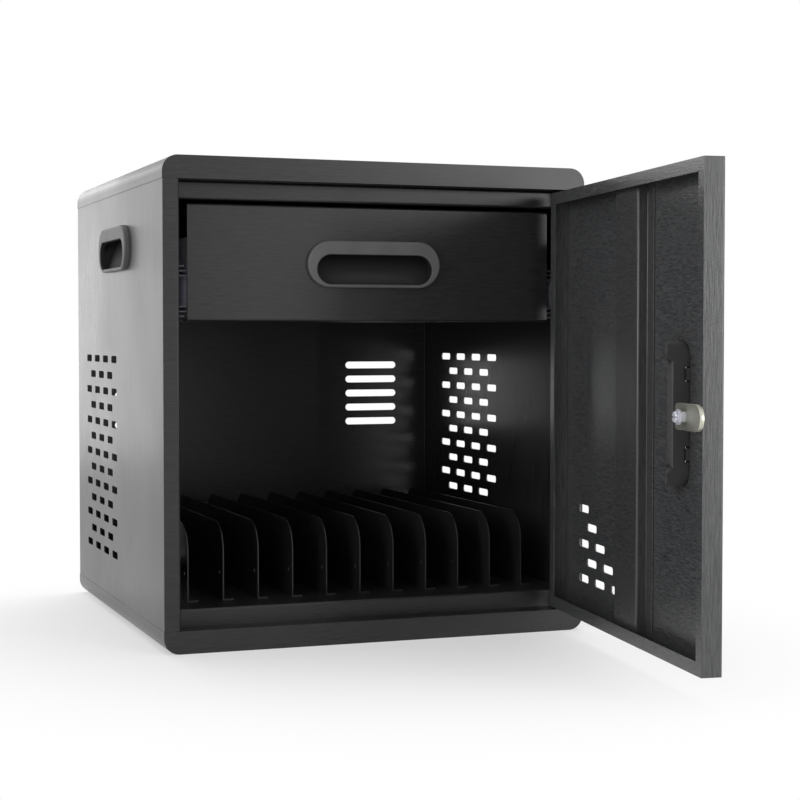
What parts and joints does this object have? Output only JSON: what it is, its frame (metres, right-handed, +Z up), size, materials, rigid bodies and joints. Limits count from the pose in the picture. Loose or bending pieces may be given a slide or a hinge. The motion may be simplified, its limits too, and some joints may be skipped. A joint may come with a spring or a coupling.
{
  "type": "charging cabinet",
  "caption": "Small steel charging cabinet with a lockable vented door, upright bays for laptops and tablets, and a drawer with a power strip for the chargers.",
  "frame": {"origin": "middle of the flat underside that the cabinet rests on", "axes": "+X to the right seen from the front, +Y to the back, +Z up; the door stands open at rest"},
  "size_m": [0.4078, 0.7729, 0.43],
  "materials": {
    "cabinet_steel": "satin",
    "pull_plastic": "satin",
    "zinc_steel": "satin",
    "hinge_steel": "satin",
    "lock_metal": "satin",
    "cam_steel": "satin",
    "power_plastic": "matte",
    "outlet_plastic": "matte",
    "rocker_plastic": "gloss",
    "contact_brass": "satin"
  },
  "bodies": {
    "cabinet": {"top_cap": "cabinet_steel", "bottom_cap": "cabinet_steel", "left_side_panel": "cabinet_steel", "right_side_panel": "cabinet_steel", "left_jamb": "cabinet_steel", "right_jamb": "cabinet_steel", "back_panel": "cabinet_steel", "header_stop": "cabinet_steel", "bay_floor": "cabinet_steel", "divider_01": "cabinet_steel", "divider_02": "cabinet_steel", "divider_03": "cabinet_steel", "divider_04": "cabinet_steel", "divider_05": "cabinet_steel", "divider_06": "cabinet_steel", "divider_07": "cabinet_steel", "divider_08": "cabinet_steel", "divider_09": "cabinet_steel", "divider_10": "cabinet_steel", "divider_11": "cabinet_steel", "left_carry_handle": "pull_plastic", "right_carry_handle": "pull_plastic", "left_slide_bracket": "zinc_steel", "right_slide_bracket": "zinc_steel", "left_outer_rail": "zinc_steel", "right_outer_rail": "zinc_steel", "upper_hinge_jamb_leaf": "hinge_steel", "lower_hinge_jamb_leaf": "hinge_steel", "hinge_pins": "hinge_steel", "power_inlet": "power_plastic", "inlet_pins": "contact_brass", "inlet_screws": "lock_metal", "switch_bezel": "power_plastic"},
    "door": {"door_panel": "cabinet_steel", "door_stiffener": "cabinet_steel", "door_pull": "pull_plastic", "upper_hinge_door_leaf": "hinge_steel", "lower_hinge_door_leaf": "hinge_steel", "lock_barrel": "lock_metal", "lock_nut": "lock_metal"},
    "lock": {"lock_plug": "lock_metal", "lock_cam": "cam_steel", "cam_bush": "lock_metal", "cam_screw": "lock_metal"},
    "drawer": {"drawer_front": "cabinet_steel", "drawer_tray": "zinc_steel", "drawer_pull": "pull_plastic", "left_inner_rail": "zinc_steel", "right_inner_rail": "zinc_steel", "power_strip": "power_plastic", "strip_outlets": "outlet_plastic"},
    "mid_rails": {"left_mid_rail": "zinc_steel", "right_mid_rail": "zinc_steel"},
    "main_switch": {"main_rocker": "rocker_plastic"},
    "strip_switch": {"strip_rocker": "rocker_plastic"}
  },
  "joints": [
    {"name": "door_hinge", "type": "hinge", "parent": "cabinet", "child": "door", "pos_m": [0.1822, -0.2012, 0], "axis": [0, 0, 1], "range_deg": [-82.7, 62]},
    {"name": "lock_turn", "type": "hinge", "parent": "door", "child": "lock", "pos_m": [0.13986, -0.53805, 0.215], "axis": [-0.9919, 0.1271, 0], "range_deg": [0, 90]},
    {"name": "drawer_slide", "type": "slide", "parent": "cabinet", "child": "drawer", "axis": [0, -1, 0], "range_m": [0, 0.021]},
    {"name": "mid_rail_slide", "type": "slide", "parent": "cabinet", "child": "mid_rails", "axis": [0, -1, 0], "range_m": [0, 0.0105]},
    {"name": "main_switch_rock", "type": "hinge", "parent": "cabinet", "child": "main_switch", "pos_m": [-0.065, 0.2, 0.08], "axis": [1, 0, 0], "range_deg": [0, 16]},
    {"name": "strip_switch_rock", "type": "hinge", "parent": "drawer", "child": "strip_switch", "pos_m": [0.128, 0.121, 0.3224], "axis": [1, 0, 0], "range_deg": [0, 16]}
  ],
  "couplings": [
    {"joint": "mid_rail_slide", "follows": "drawer_slide", "ratio": 0.5}
  ]
}
